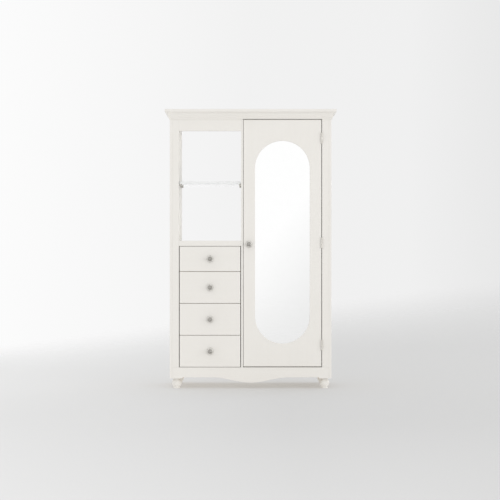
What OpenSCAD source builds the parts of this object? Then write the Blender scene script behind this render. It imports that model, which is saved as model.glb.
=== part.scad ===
// Dolls house wardrobe in 1:12 scale: an open-backed display bay over four
// drawers on the left, and a hanging space behind one mirrored door on the right.
// The front faces -Y, +Z is up, and the origin is on the floor under the middle.

/* [Overall] */
// Height from the floor to the top of the cap
total_h = 177.4; // [148:0.1:214]
// Width across the outside of the two side panels
body_w = 102.8; // [86:0.1:124]
// Depth from the front face to the back of the back panel
case_d = 42.6; // [35:0.1:52]

/* [Case boards] */
// Thickness of a side panel
side_t = 1.6; // [1.2:0.1:2.4]
// Width of the left stile, beside its side panel
left_stile_w = 4.2; // [3.4:0.1:5]
// Width of the right stile, beside its side panel
right_stile_w = 4.4; // [3.6:0.1:6]
// Thickness of the partition between the two bays
partition_t = 1.3; // [1.2:0.1:2.4]
// Clear width of the display bay and of the drawer space
bay_w = 39.5; // [32:0.1:47.5]
// Thickness of the base board and of the top board
board_t = 2.4; // [1.8:0.1:3]
// Thickness of the deck board over the drawers
deck_t = 3.4; // [2.4:0.1:4]
// Thickness of the back panel
back_t = 1.2; // [0.8:0.1:2]
// Thickness of the dust boards between the drawers
dust_t = 1; // [0.8:0.1:1.4]
// Height of the frieze over the display bay
frieze_h = 7.6; // [5:0.1:10]

/* [Base] */
// Height of a foot
foot_h = 6.4; // [5.4:0.1:8]
// Radius of the ball of a foot
foot_r = 3; // [2.4:0.1:3.6]
// Distance of a foot's centre from the outer faces
foot_inset = 4.2; // [3.6:0.1:5]
// Length of the dowel on top of a foot
foot_dowel_l = 3; // [2:0.1:4.5]
// Height of the bottom rail over the feet
rail_h = 7; // [6:0.1:9]
// How far the middle of the bottom rail hangs below the top of the feet
rail_drop = 2.7; // [1:0.1:4]
// Half the width of the bottom rail's hanging middle
rail_drop_w = 24; // [14:0.5:34]

/* [Crown] */
// Thickness of the cap board
cap_t = 1.5; // [1:0.1:2.4]
// How far the cap stands out from the case
cap_out = 3.1; // [2.6:0.1:4]
// Height of the crown moulding
crown_h = 4.6; // [4:0.1:7]

/* [Shelf] */
// Height of the shelf's underside over the deck board
shelf_up = 36.1; // [26:0.1:55]
// Thickness of the clear shelf
shelf_t = 1.6; // [1:0.1:2.4]
// Radius of a shelf pin
shelf_pin_r = 0.5; // [0.4:0.05:0.9]

/* [Hanging rod] */
// Radius of the hanging rod
rod_r = 1.2; // [0.8:0.1:2]
// Distance of the rod's centre below the top board
rod_down = 11.5; // [8:0.1:16]

/* [Door] */
// Thickness of the door
door_t = 2.4; // [2.2:0.1:3.2]
// Gap at the free edge of the door
door_gap = 0.2; // [0.2:0.05:1.1]
// Gap over the door
door_top_gap = 0.35; // [0.2:0.05:1.1]
// Gap under the door
door_foot_gap = 0.5; // [0.3:0.05:1.4]
// Border of wood on each side of the mirror opening
mirror_side = 7.4; // [5.8:0.1:9]
// Border of wood above the mirror opening
mirror_top = 13.5; // [10:0.1:20]
// Border of wood below the mirror opening
mirror_foot = 14.6; // [10:0.1:20]
// Thickness of the mirror
mirror_t = 0.8; // [0.5:0.1:0.9]
// Thickness of the card behind the mirror
backing_t = 0.6; // [0.3:0.1:0.7]
// How far the mirror runs under the edge of its opening
mirror_lap = 1.2; // [0.8:0.1:2]

/* [Hinges] */
// Length of a hinge's barrel
hinge_h = 6.2; // [5:0.1:8]
// Gap between the door and the stile, which takes both leaves
hinge_gap = 0.36; // [0.36:0.02:1.1]
// Thickness of a leaf
leaf_t = 0.15; // [0.12:0.01:0.17]
// How far a leaf runs back into the gap
leaf_d = 1.9; // [1.4:0.1:2.1]
// Outer radius of a barrel
knuckle_r = 0.5; // [0.42:0.01:0.6]
// Radius of a hinge pin
pin_r = 0.22; // [0.18:0.01:0.28]
// Distance of the upper hinge's centre from the top of the door
hinge_from_top = 11.9; // [9:0.1:18]
// Distance of the lower hinge's centre from the bottom of the door
hinge_from_foot = 13.7; // [9:0.1:18]

/* [Drawers] */
// Clear height of the drawer space, from the bottom rail to the deck board
drawers_h = 77.1; // [65:0.1:94]
// Height of the top drawer's front
small_front_h = 15.9; // [12:0.1:18]
// Gap above, below and between the drawer fronts
drawer_gap = 0.2; // [0.2:0.05:1]
// Gap at each end of a drawer front
drawer_end_gap = 0.4; // [0.2:0.05:1]
// Thickness of a drawer front
drawer_front_t = 2.4; // [1.8:0.1:2.4]
// Thickness of a drawer's sides and back
drawer_wall_t = 1.2; // [0.8:0.1:1.8]
// Thickness of a drawer's bottom
drawer_bottom_t = 0.8; // [0.6:0.1:1.2]

/* [Knobs] */
// Radius of a knob's head
knob_r = 1.4; // [1.2:0.05:2]
// How far a knob stands out from the face
knob_reach = 3.8; // [3.2:0.1:4.6]
// Distance of the door knob from the door's free edge
door_knob_in = 3.5; // [2.8:0.05:5]
// Height of the door knob's centre over the bottom of the door
door_knob_up = 77.7; // [55:0.1:90]

/* [Hidden] */
$fn = 64;

DRAWERS = [1, 2, 3, 4];

CREAM = [0.91, 0.90, 0.87];
BARE_WOOD = [0.84, 0.76, 0.62];
PEWTER = [0.58, 0.56, 0.53];
NICKEL = [0.72, 0.71, 0.69];

// Clearances
stop_gap = 0.1;     // between the closed door or drawer front and what stops it
run_gap = 0.1;      // under a drawer
pin_fit = 0.03;     // around a hinge pin
part_fit = 0.01;    // around a dowel, brad or spigot that is glued or driven in
knuckle_gap = 0.1;  // between the knuckles of a hinge
shelf_gap = 0.25;   // at each end of the shelf
mirror_fit = 0.1;   // around the mirror in its rebate
rod_fit = 0.05;     // around the rod in its sockets
past = 1;           // how far a cutter runs past a face

// Planes of the case, from front to back
front_reach = max(knob_reach, cap_out);
front_y = (front_reach - case_d) / 2;
back_y = front_y + case_d;
frame_t = door_t + stop_gap;
inside_y = front_y + frame_t;
panel_y = back_y - back_t;

// Planes of the case, from left to right
left_x = -body_w / 2;
right_x = body_w / 2;
left_in_x = left_x + side_t;
right_in_x = right_x - side_t;
bay_x = left_in_x + left_stile_w;
partition_x = bay_x + bay_w;
door_bay_x = partition_x + partition_t;
door_bay_end_x = right_in_x - right_stile_w;

// Planes of the case, from the floor up
rail_z = foot_h + rail_h;
stop_lap = 0.8;     // how far the base and top boards stand behind the door's edges
base_top_z = rail_z + door_foot_gap + stop_lap;
base_z = base_top_z - board_t;
deck_z = rail_z + drawers_h;
deck_top_z = deck_z + deck_t;
cap_z = total_h - cap_t;
crown_z = cap_z - crown_h;
frieze_z = crown_z - frieze_h;
top_z = crown_z - door_top_gap - stop_lap;
shelf_z = deck_top_z + shelf_up;

// Door
door_x = door_bay_x + door_gap;
door_end_x = door_bay_end_x - hinge_gap;
door_z = rail_z + door_foot_gap;
door_top_z = crown_z - door_top_gap;
mirror_x = (door_x + door_end_x) / 2;
mirror_z = (door_z + mirror_foot + door_top_z - mirror_top) / 2;
mirror_w = door_end_x - door_x - 2 * mirror_side;
mirror_h = door_top_z - door_z - mirror_top - mirror_foot;
lip_t = door_t - mirror_t - backing_t;
door_knob_x = door_x + door_knob_in;
door_knob_z = door_z + door_knob_up;

// Hinges
pin_x = door_bay_end_x - hinge_gap / 2;
barrel_clear = 0.05;    // between a barrel and the plane of the front
pin_y = front_y - knuckle_r - barrel_clear;
pin_head_r = 0.42;
pin_head_t = 0.3;
brad_r = 0.25;
brad_l = 1.6;
brad_spread = 0.32;     // height of a brad off the middle, as a share of the leaf
hinge_z = [door_z + hinge_from_foot, (door_z + door_top_z) / 2, door_top_z - hinge_from_top];

// Drawers
front_w = bay_w - 2 * drawer_end_gap;
tall_front_h = (drawers_h - small_front_h - (len(DRAWERS) + 1) * drawer_gap)
    / (len(DRAWERS) - 1);
drawer_x = bay_x + drawer_end_gap;
drawer_end_x = drawer_x + front_w;
drawer_y = front_y + drawer_front_t;
drawer_back_gap = 1.6;  // behind a closed drawer
drawer_end_y = panel_y - drawer_back_gap;
wall_down = 1.8;        // from the top of a front down to the drawer's walls
bottom_up = 0.5;        // from the foot of the walls up to the drawer's bottom

// Height of the foot of drawer i's front, drawer 1 being the small one at the top
function front_h(i) = i == 1 ? small_front_h : tall_front_h;
function front_z(i) = deck_z - drawer_gap - small_front_h
    - (i - 1) * (tall_front_h + drawer_gap);
// Middle of the dust board under drawer i
function dust_z(i) = front_z(i) - drawer_gap / 2;
function box_z(i) = run_gap + (i == len(DRAWERS) ? base_top_z : dust_z(i) + dust_t / 2);
function box_top_z(i) = front_z(i) + front_h(i) - wall_down;

// Knob
rosette_t = 0.5;
rosette_r = 1.8;
petal_r = 0.65;
petals = 8;
neck_r = 0.75;
spigot_r = 0.6;
head_t = knob_reach - rosette_t - 0.9;

// A square-edged board between two opposite corners
module board(from, to) {
    translate(from) cube(to - from);
}

// A round bar along -Y from the plane y, centred at x, z
module bar_y(x, y, z, r, l) {
    translate([x, y, z]) rotate([90, 0, 0]) cylinder(r = r, h = l);
}

// A round bar along X, from x to x + l
module bar_x(x, y, z, r, l) {
    translate([x, y, z]) rotate([0, 90, 0]) cylinder(r = r, h = l);
}

// ---- Case ----

module left_side() {
    color(CREAM) board([left_x, front_y, foot_h], [left_in_x, back_y, cap_z]);
}

module right_side() {
    color(CREAM) board([right_in_x, front_y, foot_h], [right_x, back_y, cap_z]);
}

// Pins on both sides of the display bay, near the front and the back of the shelf
shelf_front_in = 1.5;
shelf_back_in = 1;
shelf_y = front_y + shelf_front_in;
shelf_end_y = panel_y - shelf_back_in;
pin_from_edge = 4;
shelf_pin_z = shelf_z - shelf_pin_r;
shelf_pin_in = 1;       // length of a pin in the wood
shelf_pin_out = 1.3;    // length of a pin under the shelf

module at_shelf_pins() {
    for (y = [shelf_y + pin_from_edge, shelf_end_y - pin_from_edge])
        translate([0, y, shelf_pin_z]) children();
}

module bay_lining() {
    color(CREAM) difference() {
        board([left_in_x, inside_y, base_top_z], [bay_x, panel_y, top_z]);
        at_shelf_pins() bar_x(bay_x - shelf_pin_in, 0, 0, shelf_pin_r, shelf_pin_in + past);
    }
}

module partition() {
    color(CREAM) difference() {
        union() {
            board([partition_x, inside_y, base_top_z], [door_bay_x, panel_y, top_z]);
            board([partition_x, front_y, rail_z], [door_bay_x, inside_y, crown_z]);
        }
        at_shelf_pins() bar_x(partition_x - past, 0, 0, shelf_pin_r, shelf_pin_in + past);
    }
}

module base_board() {
    color(CREAM) board([left_in_x, inside_y, base_z], [right_in_x, panel_y, base_top_z]);
}

module top_board() {
    color(CREAM) board([left_in_x, inside_y, top_z], [right_in_x, panel_y, top_z + board_t]);
}

module deck_board() {
    color(CREAM) board([bay_x, front_y, deck_z], [partition_x, panel_y, deck_top_z]);
}

// One sheet, with a window behind the display bay
module back_panel() {
    color(CREAM) difference() {
        board([left_in_x, panel_y, foot_h], [right_in_x, back_y, cap_z]);
        board([bay_x, panel_y - past, deck_top_z], [partition_x, back_y + past, top_z]);
    }
}

module dust_boards() {
    color(BARE_WOOD) for (i = [1 : len(DRAWERS) - 1])
        board([bay_x, inside_y, dust_z(i) - dust_t / 2],
              [partition_x, panel_y, dust_z(i) + dust_t / 2]);
}

// ---- Face frame ----

module left_stile() {
    color(CREAM) board([left_in_x, front_y, rail_z], [bay_x, inside_y, cap_z]);
}

module hinge_brad_holes(x) {
    at_brads() bar_x(x, 0, 0, brad_r + part_fit, brad_l);
}

module right_stile() {
    color(CREAM) difference() {
        board([door_bay_end_x, front_y, rail_z], [right_in_x, inside_y, cap_z]);
        hinge_brad_holes(door_bay_end_x - leaf_t);
    }
}

// A full-width head behind the crown, cut away over the door
module frieze_rail() {
    color(CREAM) union() {
        board([bay_x, front_y, crown_z], [door_bay_end_x, inside_y, cap_z]);
        board([bay_x, front_y, frieze_z], [partition_x, inside_y, crown_z]);
    }
}

// Lower edge of the bottom rail: a pad over each foot, a shallow arch, and a
// middle that swings down and up again in one smooth wave
rail_pad = 2 * foot_inset;
rail_arch = 0.6;
wave_steps = 36;
function rail_wave(x) = -(rail_drop + rail_arch) * (1 + cos(180 * x / rail_drop_w)) / 2;

module bottom_rail() {
    arch_z = foot_h + rail_arch;
    foot_run = body_w / 2 - rail_pad;
    end_x = body_w / 2 - side_t;
    color(CREAM) translate([0, inside_y, 0]) rotate([90, 0, 0]) linear_extrude(frame_t)
        polygon(concat(
            [[-end_x, rail_z], [-end_x, foot_h], [-foot_run - rail_arch, foot_h],
             [-foot_run, arch_z]],
            [for (i = [-wave_steps / 2 : wave_steps / 2])
                let (x = 2 * rail_drop_w * i / wave_steps) [x, arch_z + rail_wave(x)]],
            [[foot_run, arch_z], [foot_run + rail_arch, foot_h], [end_x, foot_h],
             [end_x, rail_z]]
        ));
}

// ---- Base ----

block_w = 7;
dowel_r = 1;

module foot(x, y) {
    pad_r = 0.68 * foot_r;
    pad_h = 1;
    collar_r = 0.74 * foot_r;
    collar_h = 1.3;
    ball_z = 0.52 * foot_h;
    color(CREAM) translate([x, y, 0]) rotate_extrude() union() {
        square([pad_r, pad_h]);
        intersection() {
            translate([0, ball_z]) circle(r = foot_r);
            translate([0, 0.1]) square([foot_r + past, foot_h - 0.1]);
        }
        translate([0, foot_h - collar_h]) square([collar_r, collar_h]);
        square([dowel_r, foot_h + foot_dowel_l]);
    }
}

foot_x = body_w / 2 - foot_inset;
foot_front_y = front_y + foot_inset;
foot_back_y = back_y - foot_inset;

module foot_blocks() {
    color(BARE_WOOD) for (side = [-1, 1], front = [true, false]) {
        x = side * (body_w / 2 - side_t - block_w / 2);
        y = front ? inside_y : panel_y - block_w;
        difference() {
            board([x - block_w / 2, y, foot_h], [x + block_w / 2, y + block_w, base_z]);
            translate([side * foot_x, front ? foot_front_y : foot_back_y, foot_h - past])
                cylinder(r = dowel_r + part_fit, h = foot_dowel_l + past);
        }
    }
}

// ---- Crown ----

module top_cap() {
    color(CREAM) board([left_x - cap_out, front_y - cap_out, cap_z],
                       [right_x + cap_out, back_y, total_h]);
}

// Section of the moulding, standing out along X and up along Y: a flat band, a
// small bead, a step, and a cove that opens out to the cap
band_out = 0.5;
band_h = 0.9;
bead_r = 0.5;
step_out = 0.8;
step_h = 0.3;
cove_steps = 12;

module crown_section() {
    cove_z = band_h + 2 * bead_r + step_h;
    cove_w = cap_out - 0.3 - step_out;
    cove_h = crown_h - cove_z;
    union() {
        square([band_out, band_h + bead_r]);
        translate([band_out, band_h + bead_r]) circle(r = bead_r);
        polygon(concat(
            [[0, band_h + bead_r], [step_out, band_h + bead_r]],
            [for (i = [0 : cove_steps])
                let (a = 90 * i / cove_steps)
                [step_out + cove_w * (1 - cos(a)), cove_z + cove_h * sin(a)]],
            [[0, crown_h]]
        ));
    }
}

module crown_front() {
    reach = cap_out;
    color(CREAM) intersection() {
        translate([left_x - reach, front_y, crown_z])
            rotate([90, 0, 90]) linear_extrude(body_w + 2 * reach)
                mirror([1, 0]) crown_section();
        translate([0, 0, crown_z - past]) linear_extrude(crown_h + 2 * past)
            polygon([[left_x, front_y], [left_x - reach, front_y - reach],
                     [right_x + reach, front_y - reach], [right_x, front_y]]);
    }
}

// side is 1 for the right return and -1 for the left
module crown_return(side) {
    reach = cap_out;
    edge = body_w / 2;
    color(CREAM) mirror([side < 0 ? 1 : 0, 0, 0]) intersection() {
        translate([edge, back_y, crown_z])
            rotate([90, 0, 0]) linear_extrude(case_d + reach) crown_section();
        translate([0, 0, crown_z - past]) linear_extrude(crown_h + 2 * past)
            polygon([[edge, front_y], [edge + reach, front_y - reach],
                     [edge + reach, back_y], [edge, back_y]]);
    }
}

// ---- Shelf and rod ----

module glass_shelf() {
    color([0.85, 0.92, 0.92, 0.4])
        board([bay_x + shelf_gap, shelf_y, shelf_z],
              [partition_x - shelf_gap, shelf_end_y, shelf_z + shelf_t]);
}

module shelf_pins() {
    color(NICKEL) at_shelf_pins() {
        bar_x(bay_x - shelf_pin_in, 0, 0, shelf_pin_r, shelf_pin_in + shelf_pin_out);
        bar_x(partition_x - shelf_pin_out, 0, 0, shelf_pin_r, shelf_pin_in + shelf_pin_out);
    }
}

rod_y = (inside_y + panel_y) / 2;
rod_z = top_z - rod_down;
socket_t = 1.6;
socket_floor = 0.4;
socket_wall = 1.1;

module hanging_rod() {
    color(NICKEL) bar_x(door_bay_x + socket_floor, rod_y, rod_z, rod_r,
                        right_in_x - door_bay_x - 2 * socket_floor);
}

module rod_sockets() {
    color(NICKEL) difference() {
        union() {
            bar_x(door_bay_x, rod_y, rod_z, rod_r + socket_wall, socket_t);
            bar_x(right_in_x - socket_t, rod_y, rod_z, rod_r + socket_wall, socket_t);
        }
        bar_x(door_bay_x + socket_floor, rod_y, rod_z, rod_r + rod_fit,
              right_in_x - door_bay_x - 2 * socket_floor);
    }
}

// ---- Hinges ----

module at_brads() {
    for (z = hinge_z, s = [-1, 1])
        translate([0, front_y + leaf_d / 2, z + s * brad_spread * hinge_h]) children();
}

// Height of the knuckle in the middle of a barrel, which is the door's
mid_knuckle_h = hinge_h / 3;

// Knuckles from z0 to z1 around the pin, with the neck that joins them to a leaf
// whose outer face is the plane x
module knuckle(x, z0, z1) {
    inner_x = x > pin_x ? x - leaf_t : x + leaf_t;
    translate([pin_x, pin_y, z0]) cylinder(r = knuckle_r, h = z1 - z0);
    board([min(x, inner_x), pin_y, z0], [max(x, inner_x), front_y + past / 2, z1]);
}

module leaf_plate(x, z) {
    inner_x = x > pin_x ? x - leaf_t : x + leaf_t;
    board([min(x, inner_x), front_y, z - hinge_h / 2],
          [max(x, inner_x), front_y + leaf_d, z + hinge_h / 2]);
}

module pin_bore(z) {
    translate([pin_x, pin_y, z - hinge_h / 2 - past])
        cylinder(r = pin_r + pin_fit, h = hinge_h + 2 * past);
}

module hinge_frame_leaves() {
    inner = (mid_knuckle_h + knuckle_gap) / 2;
    color(NICKEL) for (z = hinge_z) difference() {
        union() {
            leaf_plate(door_bay_end_x, z);
            knuckle(door_bay_end_x, z - hinge_h / 2, z - inner);
            knuckle(door_bay_end_x, z + inner, z + hinge_h / 2);
        }
        pin_bore(z);
        hinge_brad_holes(door_bay_end_x - leaf_t);
    }
}

module hinge_door_leaves() {
    inner = (mid_knuckle_h - knuckle_gap) / 2;
    color(NICKEL) for (z = hinge_z) difference() {
        union() {
            leaf_plate(door_end_x, z);
            knuckle(door_end_x, z - inner, z + inner);
        }
        pin_bore(z);
        hinge_brad_holes(door_end_x + leaf_t - brad_l);
    }
}

module hinge_pins() {
    color(NICKEL) for (z = hinge_z) translate([pin_x, pin_y, z]) {
        translate([0, 0, -hinge_h / 2]) cylinder(r = pin_r, h = hinge_h);
        translate([0, 0, hinge_h / 2]) cylinder(r = pin_head_r, h = pin_head_t);
        translate([0, 0, -hinge_h / 2 - pin_head_t]) cylinder(r = pin_head_r, h = pin_head_t);
    }
}

module hinge_frame_brads() {
    color(NICKEL) at_brads() bar_x(door_bay_end_x - leaf_t, 0, 0, brad_r, brad_l);
}

module hinge_door_brads() {
    color(NICKEL) at_brads() bar_x(door_end_x + leaf_t - brad_l, 0, 0, brad_r, brad_l);
}

// ---- Door ----

// A slab with half-round ends, from the plane y forward by t
module round_ended(w, h, y, t) {
    translate([mirror_x, y, mirror_z]) rotate([90, 0, 0]) linear_extrude(t) union() {
        square([w, h - w], center = true);
        for (s = [-1, 1]) translate([0, s * (h - w) / 2]) circle(d = w, $fn = 96);
    }
}

module door_panel() {
    sheet_w = mirror_w + 2 * (mirror_lap + mirror_fit);
    sheet_h = mirror_h + 2 * (mirror_lap + mirror_fit);
    back = front_y + door_t;
    color(CREAM) difference() {
        board([door_x, front_y, door_z], [door_end_x, back, door_top_z]);
        round_ended(mirror_w, mirror_h, back + past, door_t + 2 * past);
        round_ended(sheet_w, sheet_h, back + past, door_t - lip_t + past);
        bar_y(door_knob_x, back + past, door_knob_z, spigot_r + part_fit, door_t + 2 * past);
        hinge_brad_holes(door_end_x + leaf_t - brad_l);
    }
}

module mirror_sheet(y, t) {
    round_ended(mirror_w + 2 * mirror_lap, mirror_h + 2 * mirror_lap, y, t);
}

module mirror_glass() {
    color([0.95, 0.97, 0.98]) mirror_sheet(front_y + lip_t + mirror_t, mirror_t);
}

module mirror_backing() {
    color(BARE_WOOD) mirror_sheet(front_y + door_t, backing_t);
}

// ---- Knobs ----

// A turned knob on a petalled rosette, with a spigot of the given length behind it
module knob(x, z, spigot_l) {
    color(PEWTER) translate([x, front_y, z]) rotate([90, 0, 0]) {
        translate([0, 0, -spigot_l]) cylinder(r = spigot_r, h = spigot_l);
        cylinder(r = rosette_r, h = rosette_t);
        for (i = [0 : petals - 1])
            rotate([0, 0, 360 * i / petals]) translate([rosette_r, 0, 0])
                cylinder(r = petal_r, h = rosette_t);
        cylinder(r = neck_r, h = knob_reach - head_t / 2);
        translate([0, 0, knob_reach - head_t]) rotate_extrude() intersection() {
            translate([0, head_t / 2]) scale([knob_r, knob_r]) circle(r = 1);
            square([knob_r, head_t]);
        }
    }
}

module door_knob() {
    knob(door_knob_x, door_knob_z, door_t);
}

// ---- Drawers, i from 1 at the top ----

module drawer_front(i) {
    z = front_z(i);
    color(CREAM) difference() {
        board([drawer_x, front_y, z], [drawer_end_x, drawer_y, z + front_h(i)]);
        bar_y((drawer_x + drawer_end_x) / 2, drawer_y + past, z + front_h(i) / 2,
              spigot_r + part_fit, drawer_front_t + 2 * past);
    }
}

module drawer_wall(i, x) {
    color(BARE_WOOD) board([x, drawer_y, box_z(i)],
                           [x + drawer_wall_t, drawer_end_y, box_top_z(i)]);
}

module drawer_back(i) {
    color(BARE_WOOD) board([drawer_x + drawer_wall_t, drawer_end_y - drawer_wall_t, box_z(i)],
                           [drawer_end_x - drawer_wall_t, drawer_end_y, box_top_z(i)]);
}

module drawer_bottom(i) {
    z = box_z(i) + bottom_up;
    color(BARE_WOOD) board([drawer_x + drawer_wall_t, drawer_y, z],
                           [drawer_end_x - drawer_wall_t, drawer_end_y - drawer_wall_t,
                            z + drawer_bottom_t]);
}

module drawer_knob(i) {
    knob((drawer_x + drawer_end_x) / 2, front_z(i) + front_h(i) / 2, drawer_front_t);
}

left_side();
right_side();
bay_lining();
partition();
base_board();
top_board();
deck_board();
back_panel();
left_stile();
right_stile();
frieze_rail();
bottom_rail();
top_cap();
crown_front();
crown_return(-1);  // crown_left
crown_return(1);  // crown_right
glass_shelf();
shelf_pins();
foot(-foot_x, foot_front_y);  // foot_front_left
foot(foot_x, foot_front_y);  // foot_front_right
foot(-foot_x, foot_back_y);  // foot_back_left
foot(foot_x, foot_back_y);  // foot_back_right
foot_blocks();
hanging_rod();
rod_sockets();
dust_boards();
hinge_frame_leaves();
hinge_pins();
hinge_frame_brads();
door_panel();
mirror_glass();  // mirror
mirror_backing();
door_knob();
hinge_door_leaves();
hinge_door_brads();
for (i = DRAWERS) {
    drawer_front(i);
    drawer_wall(i, drawer_x);
    drawer_wall(i, drawer_end_x - drawer_wall_t);
    drawer_back(i);
    drawer_bottom(i);
    drawer_knob(i);
}
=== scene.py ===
import math

import bmesh
import bpy
from mathutils import Matrix, Vector


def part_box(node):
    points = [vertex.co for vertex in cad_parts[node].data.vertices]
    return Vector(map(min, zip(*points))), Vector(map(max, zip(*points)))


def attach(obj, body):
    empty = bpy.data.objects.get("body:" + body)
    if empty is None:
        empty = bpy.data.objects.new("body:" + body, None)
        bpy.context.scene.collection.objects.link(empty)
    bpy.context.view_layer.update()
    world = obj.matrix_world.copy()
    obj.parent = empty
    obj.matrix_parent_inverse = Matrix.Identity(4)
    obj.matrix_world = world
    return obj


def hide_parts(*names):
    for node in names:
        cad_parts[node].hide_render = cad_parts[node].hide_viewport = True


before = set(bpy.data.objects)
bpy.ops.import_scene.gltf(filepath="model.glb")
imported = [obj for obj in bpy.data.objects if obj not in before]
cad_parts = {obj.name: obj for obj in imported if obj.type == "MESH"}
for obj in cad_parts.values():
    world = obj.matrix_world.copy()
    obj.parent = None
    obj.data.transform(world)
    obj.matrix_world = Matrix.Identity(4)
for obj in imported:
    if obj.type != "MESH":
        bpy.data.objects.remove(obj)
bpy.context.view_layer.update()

# ---- Side panels ----
# Two sheets of thin birch ply that run from the feet up to the cap and show their
# front edge beside the stiles. Sanded, every arris eased, brushed with cream paint.

MM = 0.001


def pick_only(*pieces):
    """Leaves just these pieces selected, the first one active."""
    bpy.ops.object.select_all(action="DESELECT")
    for piece in pieces:
        piece.select_set(True)
    bpy.context.view_layer.objects.active = pieces[0]


def board(name, low, high):
    """A square-edged board between two opposite corners."""
    bpy.ops.object.select_all(action="DESELECT")
    low, high = Vector(low), Vector(high)
    bpy.ops.mesh.primitive_cube_add(size=1, location=(low + high) / 2, scale=high - low)
    bpy.ops.object.transform_apply()
    piece = bpy.context.active_object
    piece.name = piece.data.name = name
    return piece


def apply_modifier(piece, kind, **settings):
    """Puts one modifier on a piece and makes it part of the mesh."""
    pick_only(piece)
    made = piece.modifiers.new(kind.title(), kind)
    for key, value in settings.items():
        setattr(made, key, value)
    bpy.ops.object.modifier_apply(modifier=made.name)


def ease_edges(piece, radius, steps=3, sharpest=30):
    """Rounds the sharp edges, and keeps the faces between them flat in the light."""
    apply_modifier(piece, "BEVEL", width=radius, segments=steps, limit_method="ANGLE",
                   angle_limit=math.radians(sharpest), miter_outer="MITER_ARC")
    bpy.ops.object.shade_smooth()
    apply_modifier(piece, "WEIGHTED_NORMAL", weight=100, keep_sharp=False)


def fit(piece, node, body, finish):
    """Gives a piece its finish and puts it in the node's place on its body."""
    piece.data.materials.clear()
    piece.data.materials.append(finish)
    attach(piece, body)
    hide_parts(node)
    return piece


def add_node(tree, kind, values=None, **settings):
    """Adds a node to a tree, with its settings and the values of its inputs."""
    made = tree.nodes.new(kind)
    for key, value in settings.items():
        setattr(made, key, value)
    for socket, value in (values or {}).items():
        made.inputs[socket].default_value = value
    return made


def joined(tree, operation, first, second, clamp=False):
    """A Math node over two sockets or numbers; gives its result."""
    made = add_node(tree, "ShaderNodeMath", operation=operation, use_clamp=clamp)
    for slot_number, value in enumerate((first, second)):
        if isinstance(value, (int, float)):
            made.inputs[slot_number].default_value = value
        elif value is not None:
            tree.links.new(value, made.inputs[slot_number])
    return made.outputs[0]


def scaled(tree, value, by, plus):
    """A value times one number, plus another; gives its result."""
    made = add_node(tree, "ShaderNodeMath", {1: by, 2: plus}, operation="MULTIPLY_ADD")
    tree.links.new(value, made.inputs[0])
    return made.outputs[0]


def mixed(tree, share, first, second):
    """A colour between two colours or sockets, by share; gives its result."""
    made = add_node(tree, "ShaderNodeMix", data_type="RGBA")
    for socket, value in ((0, share), (6, first), (7, second)):
        if hasattr(value, "is_linked"):
            tree.links.new(value, made.inputs[socket])
        else:
            made.inputs[socket].default_value = value
    return made.outputs[2]


def noise(tree, place, scale, detail=2.0, rough=0.5, low=0.3, high=0.7):
    """Soft noise at a place, stretched to fill 0 to 1; gives its result."""
    made = add_node(tree, "ShaderNodeTexNoise",
                    {"Scale": scale, "Detail": detail, "Roughness": rough})
    tree.links.new(place, made.inputs["Vector"])
    spread = add_node(tree, "ShaderNodeMapRange",
                      {"From Min": low, "From Max": high}, clamp=True)
    tree.links.new(made.outputs[0], spread.inputs["Value"])
    return spread.outputs["Result"]


def new_group(name, inputs, outputs):
    """An empty shader group with named inputs and outputs."""
    tree = bpy.data.node_groups.new(name, "ShaderNodeTree")
    for label, kind in inputs:
        tree.interface.new_socket(label, in_out="INPUT", socket_type="NodeSocket" + kind)
    for label, kind in outputs:
        tree.interface.new_socket(label, in_out="OUTPUT", socket_type="NodeSocket" + kind)
    return tree, tree.nodes.new("NodeGroupInput"), tree.nodes.new("NodeGroupOutput")


# Worn arrises, partly rub and partly painted shade: how far the smoothed normal leans from the
# real one, broken up by noise
edge_rub_and_shade, given, put = new_group(
    "Edge rub and painted shade", [("Place", "Vector"), ("Radius", "Float"), ("Amount", "Float")],
    [("Mask", "Float")])
round_normal = add_node(edge_rub_and_shade, "ShaderNodeBevel", samples=6)
edge_rub_and_shade.links.new(given.outputs["Radius"], round_normal.inputs["Radius"])
true_normal = add_node(edge_rub_and_shade, "ShaderNodeNewGeometry")
lean = add_node(edge_rub_and_shade, "ShaderNodeVectorMath", operation="DOT_PRODUCT")
edge_rub_and_shade.links.new(round_normal.outputs[0], lean.inputs[0])
edge_rub_and_shade.links.new(true_normal.outputs["True Normal"], lean.inputs[1])
leaning = joined(edge_rub_and_shade, "SUBTRACT", 1.0, lean.outputs["Value"], clamp=True)
patches = noise(edge_rub_and_shade, given.outputs["Place"], 420, detail=4, rough=0.6)
rubbed_and_shaded = joined(edge_rub_and_shade, "MULTIPLY", leaning, patches)
rubbed_and_shaded = joined(edge_rub_and_shade, "MULTIPLY", rubbed_and_shaded, given.outputs["Amount"], clamp=True)
edge_rub_and_shade.links.new(rubbed_and_shaded, put.inputs["Mask"])

# Brushed satin paint: slow clouding in the colour, brush lines along one way, the
# fine pebble of dried paint, a little ply grain that shows through, and arrises in
# darker, warmer paint that is partly rub and partly painted shade
brushed_paint, given, put = new_group(
    "Brushed paint",
    [("Place", "Vector"), ("Strokes", "Vector"), ("Paint", "Color"), ("Thin paint", "Color"),
     ("Rubbed and shaded paint", "Color")],
    [("Colour", "Color"), ("Roughness", "Float"), ("Height", "Float")])
place = given.outputs["Place"]
strokes = given.outputs["Strokes"]
clouds = noise(brushed_paint, place, 38, detail=3, rough=0.55)
lines = noise(brushed_paint, strokes, 1900, detail=3, rough=0.6)
broad_lines = noise(brushed_paint, strokes, 620, detail=2, rough=0.5)
pebble = noise(brushed_paint, place, 2600, detail=2, rough=0.5, low=0.25, high=0.75)
pores = noise(brushed_paint, strokes, 3300, detail=1, rough=0.4, low=0.68, high=0.8)
rub_and_shade = add_node(brushed_paint, "ShaderNodeGroup", node_tree=edge_rub_and_shade)
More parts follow.
